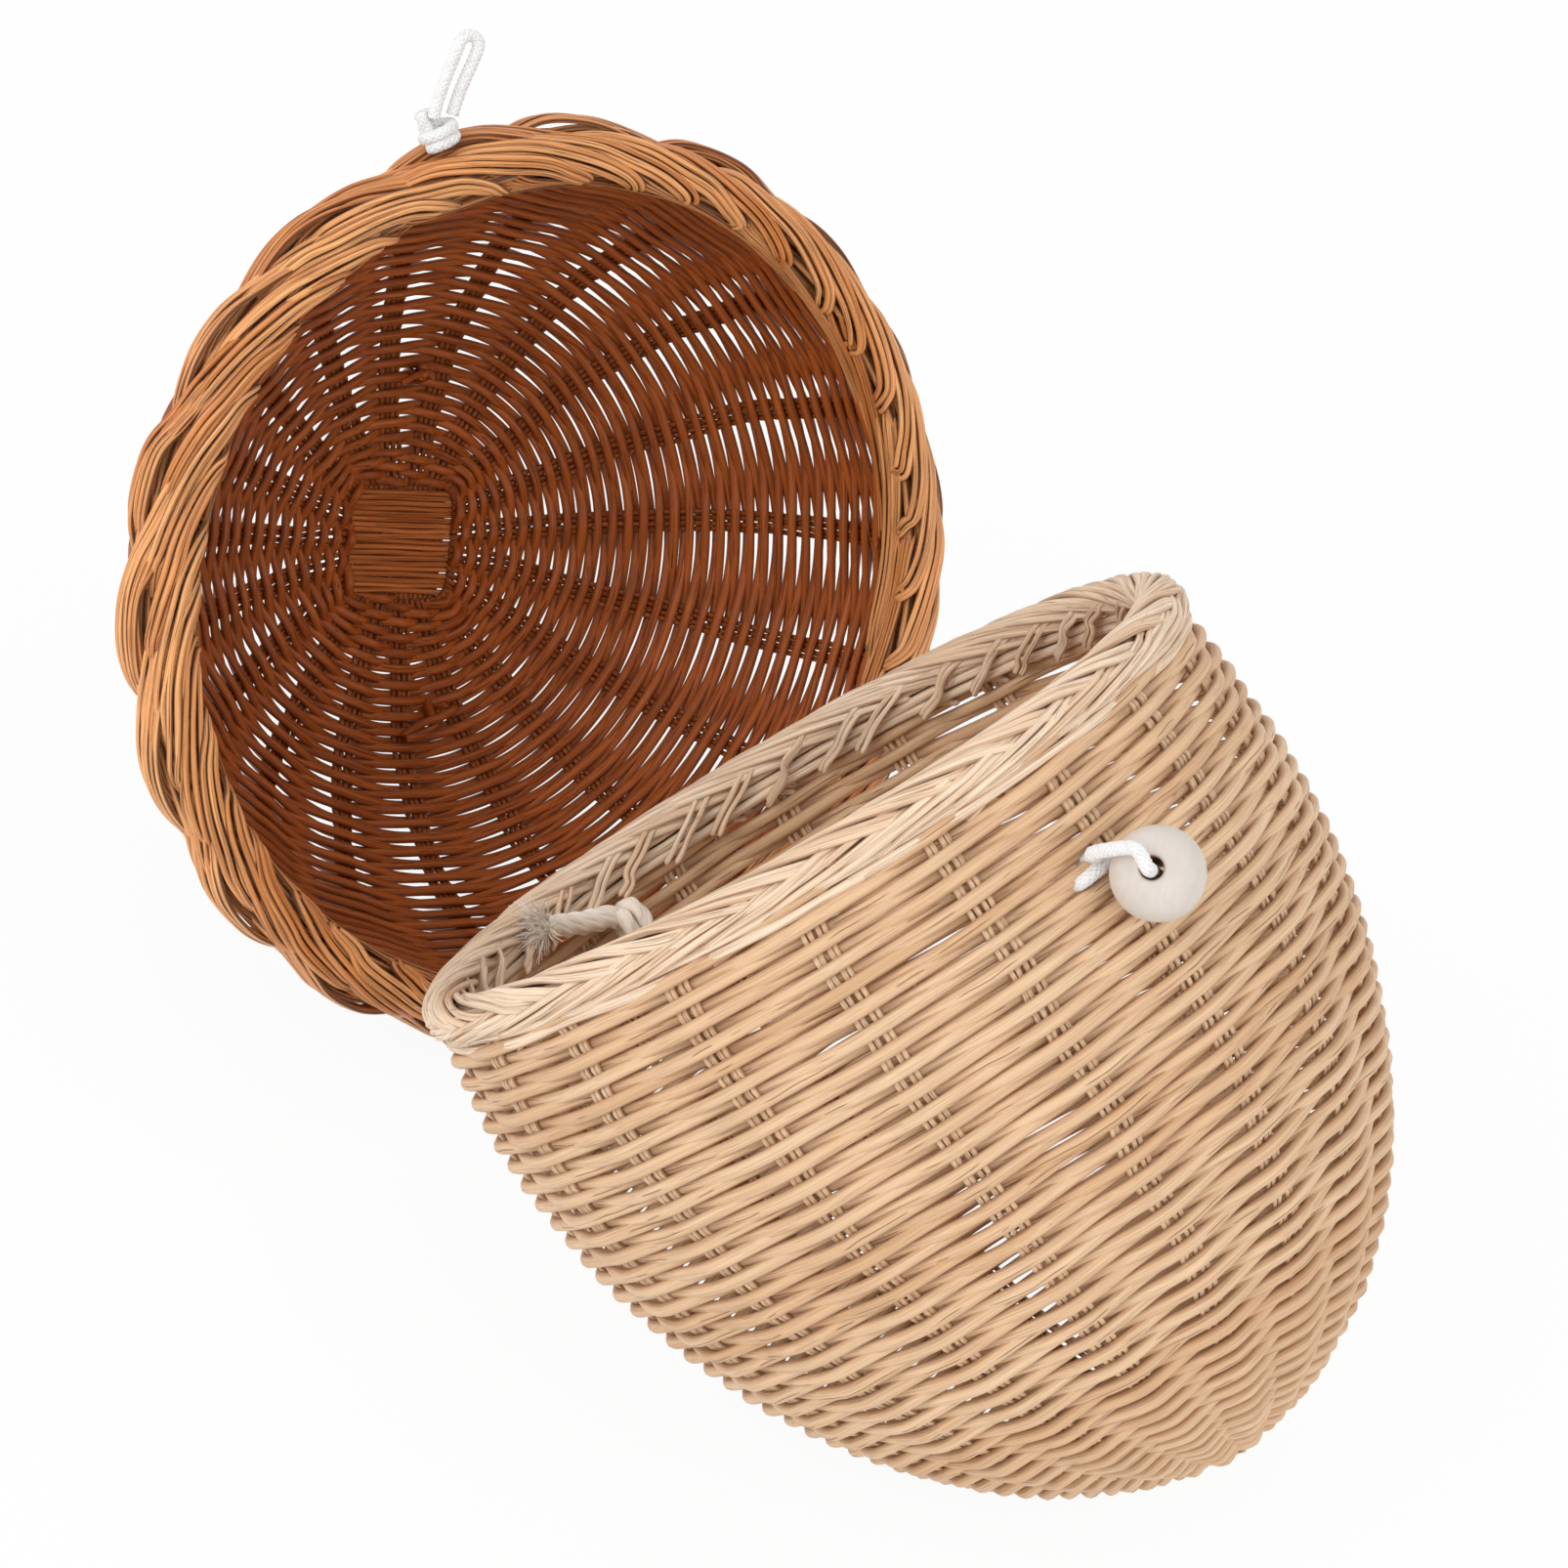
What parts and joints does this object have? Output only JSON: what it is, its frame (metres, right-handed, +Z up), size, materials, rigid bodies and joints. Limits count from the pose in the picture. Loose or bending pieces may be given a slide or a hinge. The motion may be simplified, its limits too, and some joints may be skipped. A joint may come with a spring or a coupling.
{
  "type": "lidded woven basket",
  "caption": "Acorn-shaped woven reed basket, tipped back with its domed lid open on a rope hinge, with a bead and a cord loop to close it.",
  "frame": {"origin": "on the table, under the middle of the box around the basket and its lid, measured without their cords", "axes": "+Z up from the table that the tipped basket and its open lid lie on, +X to the right in the picture, +Y away from the camera"},
  "size_m": [0.3176, 0.3158, 0.2272],
  "materials": {
    "pale_reed": "smooth peeled reed",
    "pale_stake": "thin peeled reed",
    "brown_reed": "stained reed, low sheen",
    "brown_stake": "stained thin reed",
    "tan_border": "stained reed, low sheen",
    "cream_rope": "twisted soft fibre",
    "white_cord": "braided cord",
    "white_bead": "painted, low gloss"
  },
  "bodies": {
    "basket": {"basket_weave": "pale_reed", "basket_border": "pale_reed", "basket_stake_01": "pale_stake", "basket_stake_02": "pale_stake", "basket_stake_03": "pale_stake", "basket_stake_04": "pale_stake", "basket_stake_05": "pale_stake", "basket_stake_06": "pale_stake", "basket_stake_07": "pale_stake", "basket_stake_08": "pale_stake", "basket_stake_09": "pale_stake", "basket_stake_10": "pale_stake", "basket_stake_11": "pale_stake", "basket_stake_12": "pale_stake", "basket_stake_13": "pale_stake", "basket_stake_14": "pale_stake", "basket_stake_15": "pale_stake", "basket_stake_16": "pale_stake", "basket_stake_17": "pale_stake", "basket_stake_18": "pale_stake", "basket_stake_19": "pale_stake", "basket_base_reeds_outer": "pale_stake", "basket_base_reeds_inner": "pale_stake", "hinge_rope": "cream_rope", "hinge_rope_knot": "cream_rope", "hinge_rope_tail": "cream_rope"},
    "lid": {"lid_weave": "brown_reed", "lid_border": "tan_border", "lid_stake_01": "brown_stake", "lid_stake_02": "brown_stake", "lid_stake_03": "brown_stake", "lid_stake_04": "brown_stake", "lid_stake_05": "brown_stake", "lid_stake_06": "brown_stake", "lid_stake_07": "brown_stake", "lid_stake_08": "brown_stake", "lid_stake_09": "brown_stake", "lid_stake_10": "brown_stake", "lid_stake_11": "brown_stake", "lid_stake_12": "brown_stake", "lid_stake_13": "brown_stake", "lid_stake_14": "brown_stake", "lid_stake_15": "brown_stake", "lid_stake_16": "brown_stake", "lid_stake_17": "brown_stake", "lid_stake_18": "brown_stake", "lid_stake_19": "brown_stake", "lid_base_reeds_outer": "brown_stake", "lid_base_reeds_inner": "brown_stake", "lid_handle": "brown_reed", "hinge_rope_link": "cream_rope", "closing_loop_knot": "white_cord"},
    "bead": {"bead": "white_bead", "bead_cord": "white_cord"},
    "loop": {"closing_loop": "white_cord"}
  },
  "joints": [
    {"name": "lid_fold", "type": "hinge", "parent": "basket", "child": "lid", "pos_m": [-0.00364, -0.00764, 0.0366], "axis": [-0.7467, -0.6174, -0.2476], "range_deg": [-70.27, 35]},
    {"name": "bead_swing", "type": "hinge", "parent": "basket", "child": "bead", "pos_m": [0.07326, -0.1012, 0.19405], "axis": [0.3948, -0.5073, 0.766], "range_deg": [-35, 35]},
    {"name": "loop_swing", "type": "hinge", "parent": "lid", "child": "loop", "pos_m": [-0.10523, 0.08833, 0.20362], "axis": [0.7046, 0.6983, 0.1259], "range_deg": [-15, 80]}
  ]
}
